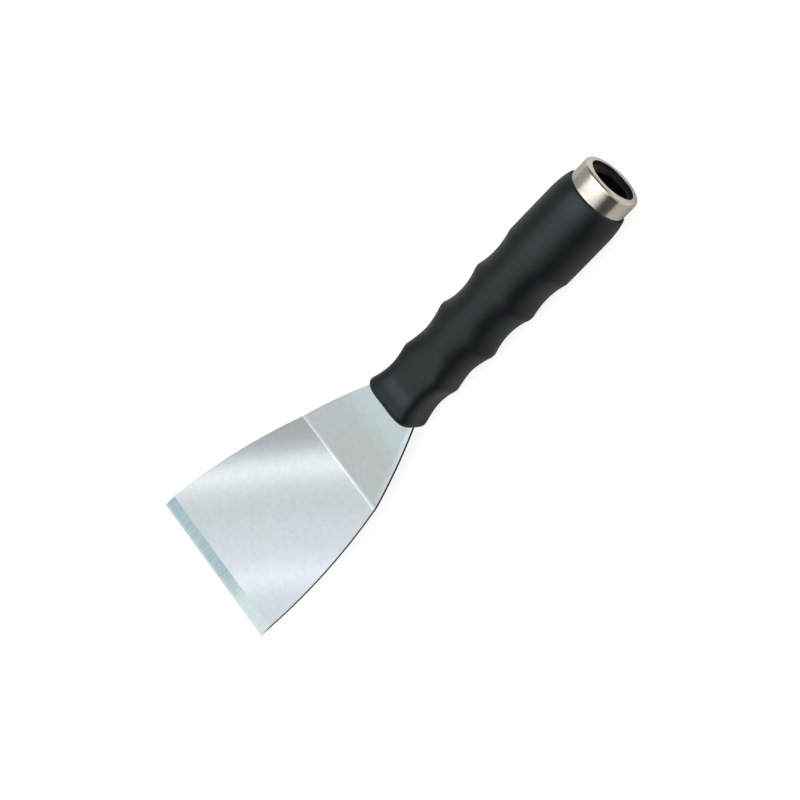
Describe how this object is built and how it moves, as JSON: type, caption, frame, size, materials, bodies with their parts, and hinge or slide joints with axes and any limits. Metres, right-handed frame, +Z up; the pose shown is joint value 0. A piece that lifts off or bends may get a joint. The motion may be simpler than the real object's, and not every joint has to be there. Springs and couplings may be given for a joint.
{
  "type": "bent pole scraper",
  "caption": "Bent stainless scraper blade on a black finger-grooved rubber grip, with a threaded socket in its plated end for an extension pole.",
  "frame": {"origin": "middle of the tool's length and width, at the level of the grip's lowest line", "axes": "+Y along the handle from the threaded mouth towards the blade, +X across the blade, +Z up, towards the side to which the blade is bent"},
  "size_m": [0.0762, 0.2564, 0.0377],
  "materials": {
    "blade_steel": "satin brushed stainless steel",
    "grip_rubber": "satin black",
    "core_plastic": "matte black",
    "ferrule_nickel": "satin nickel plate",
    "bush_nylon": "black, slightly glossy",
    "pin_steel": "plain"
  },
  "bodies": {
    "root": {"blade": "blade_steel", "grip_sleeve": "grip_rubber", "handle_core": "core_plastic", "end_ferrule": "ferrule_nickel", "threaded_bush": "bush_nylon", "tang_pin_front": "pin_steel", "tang_pin_rear": "pin_steel"}
  },
  "joints": []
}
